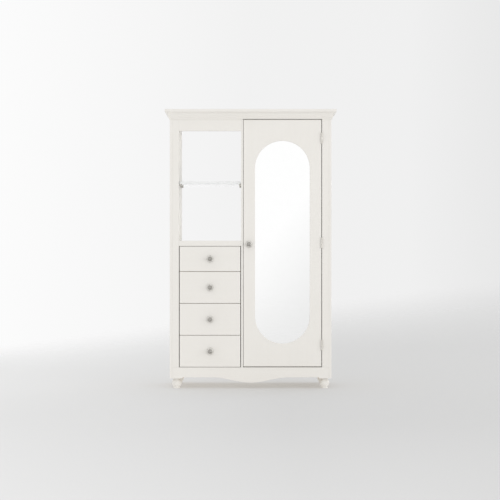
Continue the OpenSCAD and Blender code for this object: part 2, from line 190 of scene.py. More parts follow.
rub_and_shade.inputs["Radius"].default_value = 0.3 * MM
rub_and_shade.inputs["Amount"].default_value = 2.2
brushed_paint.links.new(place, rub_and_shade.inputs["Place"])
thinness = joined(brushed_paint, "ADD", joined(brushed_paint, "MULTIPLY", clouds, 0.55),
                  joined(brushed_paint, "MULTIPLY", broad_lines, 0.35), clamp=True)
painted = mixed(brushed_paint, thinness, given.outputs["Paint"], given.outputs["Thin paint"])
# Darker, warmer paint on the arrises: partly worn paint, partly painted shade along the edges
painted = mixed(brushed_paint, rub_and_shade.outputs["Mask"], painted, given.outputs["Rubbed and shaded paint"])
brushed_paint.links.new(painted, put.inputs["Colour"])
gloss = scaled(brushed_paint, lines, 0.10, 0.36)
gloss = joined(brushed_paint, "ADD", gloss, joined(brushed_paint, "MULTIPLY", clouds, 0.08))
gloss = joined(brushed_paint, "SUBTRACT", gloss,
               joined(brushed_paint, "MULTIPLY", rub_and_shade.outputs["Mask"], 0.10))
brushed_paint.links.new(gloss, put.inputs["Roughness"])
relief = joined(brushed_paint, "ADD", joined(brushed_paint, "MULTIPLY", lines, 0.45),
                joined(brushed_paint, "MULTIPLY", broad_lines, 0.55))
relief = joined(brushed_paint, "ADD", relief, joined(brushed_paint, "MULTIPLY", pebble, 0.30))
relief = joined(brushed_paint, "SUBTRACT", relief,
                joined(brushed_paint, "MULTIPLY", pores, 0.35))
brushed_paint.links.new(relief, put.inputs["Height"])


def new_finish(name):
    """An empty material with its shader, and the rest-place coordinates."""
    finish = bpy.data.materials.new(name)
    finish.use_nodes = True
    tree = finish.node_tree
    shader = tree.nodes["Principled BSDF"]
    place = add_node(tree, "ShaderNodeTexCoord").outputs["Object"]
    return finish, tree, shader, place


def along(tree, place, axis, stretch, start=(0, 0, 0)):
    """Coordinates drawn out along one axis, so a pattern runs that way."""
    scale = [1.0, 1.0, 1.0]
    scale["xyz".index(axis)] = 1 / stretch
    made = add_node(tree, "ShaderNodeMapping", {"Scale": scale, "Location": start})
    tree.links.new(place, made.inputs["Vector"])
    return made.outputs["Vector"]


def add_relief(tree, shader, height, depth):
    """Feeds a height between 0 and 1 to the shader as a bump of that depth."""
    bump = add_node(tree, "ShaderNodeBump", {"Distance": depth, "Strength": 1.0})
    tree.links.new(height, bump.inputs["Height"])
    tree.links.new(bump.outputs["Normal"], shader.inputs["Normal"])


def cream_paint(axis):
    """Cream satin paint, brushed along one axis."""
    finish, tree, shader, place = new_finish("cream_paint_" + axis)
    coat = add_node(tree, "ShaderNodeGroup", node_tree=brushed_paint)
    coat.inputs["Paint"].default_value = (0.770, 0.749, 0.713, 1)
    coat.inputs["Thin paint"].default_value = (0.750, 0.728, 0.686, 1)
    # The arris colour, darker and warmer: partly rubbed paint, partly painted shade
    coat.inputs["Rubbed and shaded paint"].default_value = (0.77, 0.735, 0.67, 1)
    tree.links.new(place, coat.inputs["Place"])
    tree.links.new(along(tree, place, axis, 22), coat.inputs["Strokes"])
    tree.links.new(coat.outputs["Colour"], shader.inputs["Base Color"])
    tree.links.new(coat.outputs["Roughness"], shader.inputs["Roughness"])
    add_relief(tree, shader, coat.outputs["Height"], 0.018 * MM)
    shader.inputs["IOR"].default_value = 1.46
    return finish


paint_up = cream_paint("z")
paint_across = cream_paint("x")
paint_back = cream_paint("y")

arris = 0.12 * MM
for side in ("left", "right"):
    panel = board(side + "_side_panel", *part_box(side + "_side"))
    ease_edges(panel, arris)
    fit(panel, side + "_side", "carcass", paint_up)

# ---- Inner boards ----
# Base, top and deck are thicker boards, glued between the sides; the deck carries the
# display bay over the drawers. The bay lining packs the left side out to its stile.

for name, node, radius, finish in (
        ("floor_board", "base_board", 0.12, paint_across),
        ("ceiling_board", "top_board", 0.12, paint_across),
        ("drawer_deck", "deck_board", 0.15, paint_across),
        ("display_bay_lining", "bay_lining", 0.1, paint_up)):
    piece = board(name, *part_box(node))
    ease_edges(piece, radius * MM)
    fit(piece, node, "carcass", finish)

# ---- Partition ----
# One upright between the two bays. Its front strip stands in the face frame and is
# shorter below and taller above than the wide part, so it is sawn as a stepped board.


def drawn_board(name, outline, run):
    """A board sawn to an outline: one point, drawn round the outline, filled, pushed out."""
    outline = [Vector(p) for p in outline]
    bpy.ops.object.select_all(action="DESELECT")
    bpy.ops.mesh.primitive_plane_add(size=MM, location=outline[0])
    bpy.ops.object.mode_set(mode="EDIT")
    bpy.ops.mesh.select_all(action="SELECT")
    bpy.ops.mesh.merge(type="CENTER")
    for here, there in zip(outline, outline[1:]):
        bpy.ops.mesh.extrude_region_move(TRANSFORM_OT_translate={"value": there - here})
    bpy.ops.mesh.select_all(action="SELECT")
    bpy.ops.mesh.edge_face_add()
    bpy.ops.mesh.extrude_region_move(TRANSFORM_OT_translate={"value": Vector(run)})
    bpy.ops.mesh.select_all(action="SELECT")
    bpy.ops.mesh.normals_make_consistent(inside=False)
    bpy.ops.object.mode_set(mode="OBJECT")
    bpy.ops.object.transform_apply()
    piece = bpy.context.active_object
    piece.name = piece.data.name = name
    return piece


low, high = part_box("partition")
inside_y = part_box("base_board")[0].y
foot_of_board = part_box("bay_lining")[0].z
head_of_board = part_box("bay_lining")[1].z
foot_of_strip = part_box("left_stile")[0].z
step_outline = [(low.x, low.y, foot_of_strip), (low.x, inside_y, foot_of_strip),
                (low.x, inside_y, foot_of_board), (low.x, high.y, foot_of_board),
                (low.x, high.y, head_of_board), (low.x, inside_y, head_of_board),
                (low.x, inside_y, high.z), (low.x, low.y, high.z)]
partition = drawn_board("bay_partition", step_outline, (high.x - low.x, 0, 0))
ease_edges(partition, 0.1 * MM)
fit(partition, "partition", "carcass", paint_up)

# ---- Back panel ----
# One thin ply sheet over the whole back, with a window sawn out behind the display
# bay, so that the bay can be seen through. Painted on both faces.


def cut_away(piece, cutter):
    """Cuts one piece's shape out of another and throws the cutter away."""
    apply_modifier(piece, "BOOLEAN", operation="DIFFERENCE", object=cutter, solver="EXACT")
    bpy.data.objects.remove(cutter)


low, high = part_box("back_panel")
window_low = (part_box("bay_lining")[1].x, low.y - MM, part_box("deck_board")[1].z)
window_high = (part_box("partition")[0].x, high.y + MM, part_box("top_board")[0].z)
back = board("windowed_back", low, high)
cut_away(back, board("window_cutter", window_low, window_high))
ease_edges(back, 0.1 * MM)
fit(back, "back_panel", "carcass", paint_up)

# ---- Face frame ----
# Two stiles run up beside the side panels. The head rail fills the frieze behind the
# crown and drops to a deeper frieze over the display bay; all are glued flush.

for side in ("left", "right"):
    stile = board("stile_" + side, *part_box(side + "_stile"))
    ease_edges(stile, arris)
    fit(stile, side + "_stile", "carcass", paint_up)

low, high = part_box("frieze_rail")
over_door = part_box("partition")[1].z
bay_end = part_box("partition")[0].x
head_outline = [(low.x, low.y, low.z), (bay_end, low.y, low.z), (bay_end, low.y, over_door),
                (high.x, low.y, over_door), (high.x, low.y, high.z), (low.x, low.y, high.z)]
head_rail = drawn_board("head_rail", head_outline, (0, high.y - low.y, 0))
ease_edges(head_rail, arris)
fit(head_rail, "frieze_rail", "carcass", paint_across)

# ---- Bottom rail ----
# Fret-sawn across the full width: a flat pad over each foot, a shallow arch, and a
# middle that hangs in one smooth wave. The sawn edge is sanded round.

low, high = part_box("bottom_rail")
foot_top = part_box("left_side")[0].z
arch = 0.6 * MM
pad_end = high.x - 6.8 * MM
wave_half = 24 * MM
wave_points = 48
drop = foot_top + arch - low.z
wave = [(low.x, low.y, high.z), (low.x, low.y, foot_top), (-pad_end - arch, low.y, foot_top),
        (-pad_end, low.y, foot_top + arch)]
for i in range(wave_points + 1):
    x = wave_half * (2 * i / wave_points - 1)
    hang = drop * (1 + math.cos(math.pi * x / wave_half)) / 2
    wave.append((x, low.y, foot_top + arch - hang))
wave += [(pad_end, low.y, foot_top + arch), (pad_end + arch, low.y, foot_top),
         (high.x, low.y, foot_top), (high.x, low.y, high.z)]
rail = drawn_board("waved_bottom_rail", wave, (0, high.y - low.y, 0))
ease_edges(rail, 0.14 * MM)
fit(rail, "bottom_rail", "carcass", paint_across)

# ---- Feet ----
# Four bun feet turned from dowel: a small pad, the bun, a collar under the case, and
# a peg that is glued up into a corner block. Dipped in the same paint.


def turned(name, centre, profile, axis, turns=48):
    """A turning: the profile, in pairs of radius and place along the axis, spun round."""
    axis = Vector(axis)
    across = Vector((1, 0, 0)) if abs(axis.x) < 0.5 else Vector((0, 0, 1))
    points = [Vector(centre) + across * r + axis * along_axis for r, along_axis in profile]
    bpy.ops.object.select_all(action="DESELECT")
    bpy.ops.mesh.primitive_plane_add(size=0.1 * MM, location=points[0])
    bpy.ops.object.mode_set(mode="EDIT")
    bpy.ops.mesh.select_all(action="SELECT")
    bpy.ops.mesh.merge(type="CENTER")
    for here, there in zip(points, points[1:]):
        bpy.ops.mesh.extrude_region_move(TRANSFORM_OT_translate={"value": there - here})
    bpy.ops.mesh.select_all(action="SELECT")
    bpy.ops.mesh.spin(steps=turns, angle=2 * math.pi, center=centre, axis=axis)
    bpy.ops.mesh.select_all(action="SELECT")
    bpy.ops.mesh.remove_doubles(threshold=0.002 * MM)
    bpy.ops.mesh.normals_make_consistent(inside=False)
    bpy.ops.object.mode_set(mode="OBJECT")
    bpy.ops.object.transform_apply()
    bpy.ops.object.shade_smooth_by_angle(angle=math.radians(40))
    piece = bpy.context.active_object
    piece.name = piece.data.name = name
    return piece


def arc(radius, middle, start, end, count):
    """Points of a round between two angles, as pairs of radius and place."""
    turns = [math.radians(start + (end - start) * i / count) for i in range(count + 1)]
    return [(middle[0] + radius * math.cos(t), middle[1] + radius * math.sin(t)) for t in turns]


def copied(piece, name, by=(0, 0, 0)):
    """A second piece like the first, moved along."""
    twin = piece.copy()
    twin.data = piece.data.copy()
    twin.name = twin.data.name = name
    bpy.context.collection.objects.link(twin)
    twin.location = by
    pick_only(twin)
    bpy.ops.object.transform_apply()
    return twin


def middle_of(node):
    """The middle of a node's box."""
    low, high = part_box(node)
    return (low + high) / 2


low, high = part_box("foot_front_left")
bun_r = (high.x - low.x) / 2
bun_z = 3.33 * MM
pad_r, pad_h = 0.68 * bun_r, 1.0 * MM
collar_r, collar_z = 0.74 * bun_r, 5.2 * MM
peg_r, peg_top = 1.0 * MM, high.z
soft = 0.16 * MM
foot_profile = [(0, 0)] + arc(soft, (pad_r - soft, soft), -90, 0, 4)
foot_profile += arc(soft, (pad_r - soft, pad_h - soft), 0, 50, 3)
foot_profile += arc(bun_r, (0, bun_z), -49.5, 42, 22)
foot_profile += arc(0.2 * MM, (collar_r - 0.2 * MM, foot_top - 0.26 * MM), -50, 90, 6)
foot_profile += [(collar_r - 0.24 * MM, foot_top), (peg_r, foot_top),
                 (peg_r, peg_top - soft), (peg_r - soft, peg_top), (0, peg_top)]
spot = middle_of("foot_front_left")
foot = turned("turned_foot_front_left", (spot.x, spot.y, 0), foot_profile, (0, 0, 1))
fit(foot, "foot_front_left", "carcass", paint_up)
for corner in ("front_right", "back_left", "back_right"):
    away = middle_of("foot_" + corner) - spot
    twin = copied(foot, "turned_foot_" + corner, away)
    fit(twin, "foot_" + corner, "carcass", paint_up)

# ---- Corner blocks ----
# Bare blocks of limewood glued behind the rails, each drilled up the middle of its
# foot for the peg. Only seen from underneath.

wood_grain, given, put = new_group(
    "Wood grain",
    [("Grain", "Vector"), ("Light wood", "Color"), ("Dark wood", "Color"),
     ("Ring width", "Float")],
    [("Colour", "Color"), ("Roughness", "Float"), ("Height", "Float")])
grain = given.outputs["Grain"]
bend = add_node(wood_grain, "ShaderNodeTexNoise", {"Scale": 90.0, "Detail": 2.0})
wood_grain.links.new(grain, bend.inputs["Vector"])
shifted = add_node(wood_grain, "ShaderNodeVectorMath", {1: (3.2 * MM, 3.2 * MM, 3.2 * MM)},
                   operation="MULTIPLY")
wood_grain.links.new(bend.outputs["Color"], shifted.inputs[0])
bent = add_node(wood_grain, "ShaderNodeVectorMath", operation="ADD")
wood_grain.links.new(grain, bent.inputs[0])
wood_grain.links.new(shifted.outputs[0], bent.inputs[1])
rings = add_node(wood_grain, "ShaderNodeTexWave", {"Distortion": 2.0, "Detail": 2.0},
                 wave_type="BANDS", bands_direction="DIAGONAL", wave_profile="SAW")
wood_grain.links.new(bent.outputs[0], rings.inputs["Vector"])
wood_grain.links.new(joined(wood_grain, "DIVIDE", 1.0, given.outputs["Ring width"]),
                     rings.inputs["Scale"])
fibres = noise(wood_grain, grain, 2400, detail=3, rough=0.6)
wood_pores = noise(wood_grain, grain, 4200, detail=1, rough=0.4, low=0.62, high=0.74)
figure = joined(wood_grain, "ADD", joined(wood_grain, "MULTIPLY", rings.outputs["Fac"], 0.5),
                joined(wood_grain, "MULTIPLY", fibres, 0.35))
figure = joined(wood_grain, "ADD", figure, joined(wood_grain, "MULTIPLY", wood_pores, 0.3),
                clamp=True)
tone = mixed(wood_grain, figure, given.outputs["Light wood"], given.outputs["Dark wood"])
wood_grain.links.new(tone, put.inputs["Colour"])
dryness = scaled(wood_grain, fibres, 0.14, 0.58)
wood_grain.links.new(dryness, put.inputs["Roughness"])
wood_relief = joined(wood_grain, "SUBTRACT", joined(wood_grain, "MULTIPLY", fibres, 0.6),
                     joined(wood_grain, "MULTIPLY", wood_pores, 0.6))
wood_grain.links.new(wood_relief, put.inputs["Height"])


def bare_wood(axis, start=(0, 0, 0)):
    """Bare limewood with its grain along one axis."""
    finish, tree, shader, place = new_finish("bare_wood_" + axis)
    timber = add_node(tree, "ShaderNodeGroup", node_tree=wood_grain)
    timber.inputs["Light wood"].default_value = (0.66, 0.50, 0.33, 1)
    timber.inputs["Dark wood"].default_value = (0.50, 0.345, 0.205, 1)
    timber.inputs["Ring width"].default_value = 9 * MM
    tree.links.new(along(tree, place, axis, 14, start), timber.inputs["Grain"])
    tree.links.new(timber.outputs["Colour"], shader.inputs["Base Color"])
    tree.links.new(timber.outputs["Roughness"], shader.inputs["Roughness"])
    add_relief(tree, shader, timber.outputs["Height"], 0.02 * MM)
    return finish


wood_across = bare_wood("x")
wood_back = bare_wood("y", (0.013, 0.0, 0.007))
wood_up = bare_wood("z", (0.021, 0.004, 0.0))

low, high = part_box("foot_blocks")
block_w = 7 * MM
hole_r, hole_l, hole_up = peg_r + 0.02 * MM, 4.4 * MM, 0.9 * MM
for side, x_low in (("left", low.x), ("right", high.x - block_w)):
    for end, y_low in (("front", low.y), ("back", high.y - block_w)):
        block = board(f"corner_block_{end}_{side}", (x_low, y_low, low.z),
                      (x_low + block_w, y_low + block_w, high.z))
        peg = middle_of(f"foot_{end}_{side}")
        bpy.ops.mesh.primitive_cylinder_add(vertices=32, radius=hole_r, depth=hole_l,
                                            location=(peg.x, peg.y, low.z + hole_up))
        bpy.ops.object.transform_apply()
        cut_away(block, bpy.context.active_object)
        ease_edges(block, 0.2 * MM)
        fit(block, "foot_blocks", "carcass", wood_up)

# ---- Dust boards ----
# Three thin bare boards between the drawers, glued between lining and partition.
# Each drawer slides on the one under it.

runs = [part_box(f"drawer_{i}_front") for i in (1, 2, 3, 4)]
low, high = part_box("dust_boards")
dust_t = 1.0 * MM
for i in (1, 2, 3):
    middle = (runs[i - 1][0].z + runs[i][1].z) / 2
    dust = board(f"dust_board_{i}", (low.x, low.y, middle - dust_t / 2),
                 (high.x, high.y, middle + dust_t / 2))
    ease_edges(dust, 0.12 * MM)
    fit(dust, "dust_boards", "carcass", wood_across)

# ---- Crown ----
# Moulding run in one length and mitred at the two front corners: a flat band, a bead, a
# small step, a cove and a plain lip. The cap is a board laid on top, its edge rounded.

low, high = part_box("left_side")
case_left, case_front, case_back = low.x, low.y, high.y
case_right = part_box("right_side")[1].x
crown_foot, cap_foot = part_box("crown_front")[0].z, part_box("top_cap")[0].z
crown_rise = cap_foot - crown_foot
cap_reach = case_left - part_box("top_cap")[0].x
band_out, band_h, bead_r, step_out, step_h = 0.5 * MM, 0.9 * MM, 0.5 * MM, 0.8 * MM, 0.3 * MM
lip_h, lip_back, cove_steps = 0.4 * MM, 0.1 * MM, 12
cove_foot = band_h + 2 * bead_r + step_h
cove_out = cap_reach - lip_back - step_out
cove_h = crown_rise - lip_h - cove_foot
bead_end = math.degrees(math.asin(0.8))
section = [(0, 0), (band_out, 0)]
section += arc(bead_r, (band_out, band_h + bead_r), -90, bead_end, 9)
for i in range(cove_steps + 1):
    t = math.radians(90 * i / cove_steps)
    section.append((step_out + cove_out * (1 - math.cos(t)), cove_foot + cove_h * math.sin(t)))
section.append((step_out + cove_out, crown_rise))
section.append((0, crown_rise))


def mitre(piece, corner, away):
    """Saws a moulding on a mitre through a corner and drops the side that faces away."""
    pick_only(piece)
    bpy.ops.object.mode_set(mode="EDIT")
    bpy.ops.mesh.select_all(action="SELECT")
    bpy.ops.mesh.bisect(plane_co=corner, plane_no=away, use_fill=True, clear_outer=True)
    bpy.ops.object.mode_set(mode="OBJECT")


def finish_moulding(piece, node, finish):
    """Softens the moulding's quirks, and gives it its place and paint."""
    ease_edges(piece, 0.05 * MM, steps=2, sharpest=35)
    fit(piece, node, "carcass", finish)


front_left, front_right = (case_left, case_front, 0), (case_right, case_front, 0)
start = case_left - 2 * cap_reach
run = case_right - case_left + 4 * cap_reach
front_cove = drawn_board("crown_moulding_front",
                         [(start, case_front - out, crown_foot + up) for out, up in section],
                         (run, 0, 0))
mitre(front_cove, front_left, (-1, 1, 0))
mitre(front_cove, front_right, (1, 1, 0))
finish_moulding(front_cove, "crown_front", paint_across)
for side, edge, way in (("left", case_left, -1), ("right", case_right, 1)):
    start = case_front - 2 * cap_reach
    outline = [(edge + way * out, start, crown_foot + up) for out, up in section]
    cove = drawn_board("crown_moulding_" + side, outline, (0, case_back - start, 0))
    mitre(cove, (edge, case_front, 0), (-way, -1, 0))
    finish_moulding(cove, "crown_" + side, paint_back)

cap = board("cap_board", *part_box("top_cap"))
ease_edges(cap, 0.2 * MM, steps=4)
fit(cap, "top_cap", "carcass", paint_across)

# ---- Shelf ----
# A strip of clear acrylic with scraped, milky edges, laid loose on four metal pins that
# are pushed into the lining and the partition.

clear, tree, shader, place = new_finish("clear_shelf_sheet")
shader.inputs["Base Color"].default_value = (0.985, 0.992, 0.99, 1)
shader.inputs["Transmission Weight"].default_value = 1.0
shader.inputs["IOR"].default_value = 1.49
smears = noise(tree, place, 150, detail=4, rough=0.6)
tree.links.new(scaled(tree, smears, 0.035, 0.012), shader.inputs["Roughness"])
add_relief(tree, shader, smears, 0.004 * MM)

scraped, tree, shader, place = new_finish("scraped_shelf_edge")
drag = noise(tree, along(tree, place, "x", 12), 2200, detail=3, rough=0.6)
tree.links.new(mixed(tree, drag, (0.92, 0.93, 0.92, 1), (0.87, 0.885, 0.88, 1)),
               shader.inputs["Base Color"])
tree.links.new(scaled(tree, drag, 0.15, 0.40), shader.inputs["Roughness"])
shader.inputs["Transmission Weight"].default_value = 0.25
shader.inputs["IOR"].default_value = 1.49
add_relief(tree, shader, drag, 0.01 * MM)

shelf = board("clear_shelf", *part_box("glass_shelf"))
ease_edges(shelf, 0.1 * MM, steps=3)
fit(shelf, "glass_shelf", "carcass", clear)
shelf.data.materials.append(scraped)
for face in shelf.data.polygons:
    face.material_index = 0 if abs(face.normal.z) > 0.9 else 1

metal_handling, given, put = new_group(
    "Handled metal", [("Place", "Vector"), ("Polish", "Float")],
    [("Tarnish", "Float"), ("Roughness", "Float"), ("Height", "Float")])
place = given.outputs["Place"]
spots = noise(metal_handling, place, 950, detail=5, rough=0.65)
drawn_out = along(metal_handling, place, "z", 30)
scratches = noise(metal_handling, drawn_out, 9000, detail=2, rough=0.7)
metal_handling.links.new(spots, put.inputs["Tarnish"])
dulling = joined(metal_handling, "ADD", joined(metal_handling, "MULTIPLY", spots, 0.16),
                 joined(metal_handling, "MULTIPLY", scratches, 0.08))
dulling = joined(metal_handling, "ADD", dulling, given.outputs["Polish"])
metal_handling.links.new(dulling, put.inputs["Roughness"])
metal_relief = joined(metal_handling, "ADD", joined(metal_handling, "MULTIPLY", spots, 0.7),
                      joined(metal_handling, "MULTIPLY", scratches, 0.3))
metal_handling.links.new(metal_relief, put.inputs["Height"])


def metal(name, bright, tarnished, polish, depth):
    """Cast or drawn metal, with tarnish in spots and fine scratches."""
    finish, tree, shader, place = new_finish(name)
    worn = add_node(tree, "ShaderNodeGroup", node_tree=metal_handling)
    worn.inputs["Polish"].default_value = polish
    tree.links.new(place, worn.inputs["Place"])
    tone = mixed(tree, worn.outputs["Tarnish"], bright, tarnished)
    tree.links.new(tone, shader.inputs["Base Color"])
    tree.links.new(worn.outputs["Roughness"], shader.inputs["Roughness"])
    shader.inputs["Metallic"].default_value = 1.0
    add_relief(tree, shader, worn.outputs["Height"], depth)
    return finish


nickel = metal("satin_nickel", (0.74, 0.72, 0.68, 1), (0.60, 0.575, 0.53, 1), 0.20, 0.006 * MM)

low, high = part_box("shelf_pins")
pin_r = (high.z - low.z) / 2
bay_left, bay_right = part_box("bay_lining")[1].x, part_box("partition")[0].x
nose, pin_out = 0.25 * MM, 1.3 * MM
pin_profile = [(0, low.x - bay_left), (pin_r, low.x - bay_left), (pin_r, 0)]
pin_profile += arc(nose, (pin_r - nose, pin_out - nose), 0, 90, 5) + [(0, pin_out)]
pin_z = (low.z + high.z) / 2
for end, y in (("front", low.y + pin_r), ("back", high.y - pin_r)):
    for side, x, way in (("left", bay_left, 1), ("right", bay_right, -1)):
        pin = turned(f"shelf_pin_{end}_{side}", (x, y, pin_z), pin_profile, (way, 0, 0), 32)
        fit(pin, "shelf_pins", "carcass", nickel)

# ---- Hanging rod ----
# Drawn metal rod between two turned cup sockets, one on the partition and one on the
# right side panel.

low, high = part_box("hanging_rod")
rod_r = (high.z - low.z) / 2
rod_mid = (low + high) / 2
end_round = 0.3 * MM
rod_profile = [(0, 0)] + arc(end_round, (rod_r - end_round, end_round), -90, 0, 4)
rod_profile += arc(end_round, (rod_r - end_round, high.x - low.x - end_round), 0, 90, 4)
rod_profile += [(0, high.x - low.x)]
rod = turned("clothes_rod", (low.x, rod_mid.y, rod_mid.z), rod_profile, (1, 0, 0))
fit(rod, "hanging_rod", "carcass", nickel)

low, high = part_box("rod_sockets")
socket_r, socket_t, socket_floor = (high.z - low.z) / 2, 1.6 * MM, 0.4 * MM
lip, bore = 0.3 * MM, rod_r + 0.05 * MM
cup = [(0, 0), (socket_r - 0.1 * MM, 0), (socket_r, 0.1 * MM)]
cup += arc(lip, (socket_r - lip, 0.7 * MM), 0, 70, 4)
cup += arc(lip, (bore + lip + 0.12 * MM, socket_t - lip), 20, 180, 8)
cup += [(bore, socket_floor), (0, socket_floor)]
for side, x, way in (("left", low.x, 1), ("right", high.x, -1)):
    socket = turned("rod_socket_" + side, (x, rod_mid.y, rod_mid.z), cup, (way, 0, 0))
    fit(socket, "rod_sockets", "carcass", nickel)

# ---- Hinges ----
# Three butt hinges of thin nickelled sheet in the gap beside the door, their leaves
# bradded to the stile and to the door's edge, each with a headed pin.

for node in ("hinge_frame_leaves", "hinge_door_leaves", "hinge_pins", "hinge_frame_brads",
             "hinge_door_brads"):
    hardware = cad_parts[node]
    hardware.data.materials.clear()
    hardware.data.materials.append(nickel)

# ---- Door ----
# One board with a round-ended opening. A wider rebate behind it takes the mirror, so
# the front shows only a thin rounded lip.


def round_front(piece, radius):
    """Rounds over the four outer edges of a piece's front face, as with a router."""
    low = Vector(map(min, zip(*[v.co for v in piece.data.vertices])))
    high = Vector(map(max, zip(*[v.co for v in piece.data.vertices])))
    pick_only(piece)
    bpy.ops.object.mode_set(mode="EDIT")
    bpy.ops.mesh.select_all(action="DESELECT")
    bpy.ops.mesh.select_mode(type="EDGE")
    shape = bmesh.from_edit_mesh(piece.data)
    near = 0.001 * MM
    for edge in shape.edges:
        ends = [v.co for v in edge.verts]
        in_front = all(abs(end.y - low.y) < near for end in ends)
        outer = any(all(abs(end[axis] - side[axis]) < near for end in ends)
                    for axis in (0, 2) for side in (low, high))
        edge.select_set(in_front and outer)
    bmesh.update_edit_mesh(piece.data)
    bpy.ops.mesh.bevel(offset=radius, segments=6, affect="EDGES")
    bpy.ops.mesh.select_mode(type="VERT")
    bpy.ops.object.mode_set(mode="OBJECT")


def round_ended(name, middle, width, height, y_front, y_back):
    """A slab with half-round ends, standing up, as a drawn board."""
    straight = (height - width) / 2
    top = arc(width / 2, (middle.x, middle.z + straight), 0, 180, 48)
    foot = arc(width / 2, (middle.x, middle.z - straight), 180, 360, 48)
    return drawn_board(name, [(x, y_front, z) for x, z in top + foot],
                       (0, y_back - y_front, 0))


door_low, door_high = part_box("door_panel")
sheet_low, sheet_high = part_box("mirror")
sheet_w, sheet_h = sheet_high.x - sheet_low.x, sheet_high.z - sheet_low.z
mirror_mid = middle_of("mirror")
lap, loose = 1.2 * MM, 0.1 * MM
round_over = 0.4 * MM
door = board("wardrobe_door", door_low, door_high)
cut_away(door, round_ended("opening_cutter", mirror_mid, sheet_w - 2 * lap,
                           sheet_h - 2 * lap, door_low.y - MM, door_high.y + MM))
cut_away(door, round_ended("rebate_cutter", mirror_mid, sheet_w + 2 * loose,
                           sheet_h + 2 * loose, sheet_low.y, door_high.y + MM))
round_front(door, round_over)
ease_edges(door, 0.16 * MM, steps=3, sharpest=40)
fit(door, "door_panel", "door", paint_up)

# ---- Mirror ----
# A silvered sheet cut to the same round-ended shape, dropped into the rebate from
# behind and held by a card glued over it.

silver, tree, shader, place = new_finish("mirror_silvering")
shader.inputs["Metallic"].default_value = 1.0
dust = noise(tree, place, 260, detail=5, rough=0.65, low=0.45, high=0.8)
tree.links.new(mixed(tree, dust, (0.968, 0.970, 0.968, 1), (0.958, 0.960, 0.958, 1)),
               shader.inputs["Base Color"])
tree.links.new(scaled(tree, dust, 0.012, 0.008), shader.inputs["Roughness"])

glass = round_ended("mirror_sheet", mirror_mid, sheet_w, sheet_h, sheet_low.y, sheet_high.y)
ease_edges(glass, 0.08 * MM, steps=2, sharpest=40)
fit(glass, "mirror", "door", silver)

card, tree, shader, place = new_finish("backing_card")
flecks = noise(tree, along(tree, place, "z", 3), 1500, detail=4, rough=0.7, low=0.35, high=0.65)
mottle = noise(tree, place, 120, detail=3, rough=0.6)
pulp = mixed(tree, flecks, (0.50, 0.41, 0.30, 1), (0.60, 0.51, 0.39, 1))
pulp = mixed(tree, joined(tree, "MULTIPLY", mottle, 0.35), pulp, (0.46, 0.37, 0.27, 1))
tree.links.new(pulp, shader.inputs["Base Color"])
tree.links.new(scaled(tree, flecks, 0.12, 0.78), shader.inputs["Roughness"])
add_relief(tree, shader, flecks, 0.02 * MM)

low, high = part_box("mirror_backing")
backing = round_ended("backing_sheet", mirror_mid, high.x - low.x, high.z - low.z, low.y, high.y)
ease_edges(backing, 0.1 * MM, steps=2, sharpest=40)
fit(backing, "mirror_backing", "door", card)

# ---- Knobs ----
# Cast pewter: a round head on a short neck, over a rosette of eight petals that lies
# on the face, with a spigot glued through the wood. One pattern for all five.

# The head's darker pewter is a painted dark reflection on the one casting; the rosette keeps the
# bright pewter
reflection_darkened_pewter = metal("pewter_darkened_as_painted_reflection", (0.45, 0.435, 0.41, 1), (0.30, 0.29, 0.27, 1), 0.24,
                    0.010 * MM)
bright_pewter = metal("bright_pewter", (0.80, 0.785, 0.75, 1), (0.58, 0.565, 0.53, 1), 0.30,
                      0.010 * MM)

low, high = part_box("door_knob")
knob_x, knob_z = (low.x + high.x) / 2, (low.z + high.z) / 2
reach = case_front - low.y
spigot_r, spigot_end = 0.6 * MM, case_front - high.y
rosette_r, rosette_t = 1.8 * MM, 0.5 * MM
head_r, edge = 1.4 * MM, 0.08 * MM
knob_profile = [(0, spigot_end), (spigot_r, spigot_end), (spigot_r, 0), (rosette_r - edge, 0),
                (rosette_r, edge), (rosette_r, 0.6 * rosette_t),
                (rosette_r - 0.14 * MM, 0.88 * rosette_t), (rosette_r - 0.5 * MM, rosette_t)]
# Up the neck and round the head: shares of the head's radius, and of the reach
for wide, out in ((0.66, 0.155), (0.56, 0.20), (0.53, 0.25), (0.56, 0.31), (0.66, 0.36),
                  (0.82, 0.41), (0.93, 0.48), (0.99, 0.56), (1.00, 0.65), (0.96, 0.74),
                  (0.85, 0.84), (0.68, 0.92), (0.46, 0.97), (0.23, 0.993), (0.0, 1.0)):
    knob_profile.append((wide * head_r, out * reach))
knob = turned("knob_of_door", (knob_x, case_front, knob_z), knob_profile, (0, -1, 0), 40)

# One petal: a round boss, drawn in to a soft crown, longer outwards than across
petals, petal_r = 8, 0.65 * MM
bpy.ops.object.select_all(action="DESELECT")
bpy.ops.mesh.primitive_circle_add(vertices=20, radius=petal_r, fill_type="NGON",
                                  location=(0, 0, 0), rotation=(math.radians(90), 0, 0))
bpy.ops.object.transform_apply()
bpy.ops.object.mode_set(mode="EDIT")
bpy.ops.mesh.select_all(action="SELECT")
bpy.ops.mesh.extrude_region_move(
    TRANSFORM_OT_translate={"value": (0, -0.55 * rosette_t, 0)})
for inset, rise in ((0.10, 0.22), (0.16, 0.14), (0.18, 0.06)):
    bpy.ops.mesh.inset(thickness=inset * MM, depth=0)
    bpy.ops.transform.translate(value=(0, -rise * rosette_t, 0))
bpy.ops.mesh.select_all(action="SELECT")
bpy.ops.mesh.normals_make_consistent(inside=False)
bpy.ops.object.mode_set(mode="OBJECT")
bpy.ops.object.shade_smooth_by_angle(angle=math.radians(50))
petal = bpy.context.active_object
ring = [knob]
for i in range(petals):
    leaf = copied(petal, f"petal_{i}")
    leaf.matrix_world = (Matrix.Translation((knob_x, case_front, knob_z))
                         @ Matrix.Rotation(2 * math.pi * i / petals, 4, "Y")
                         @ Matrix.Translation((rosette_r, 0, 0)))
    ring.append(leaf)
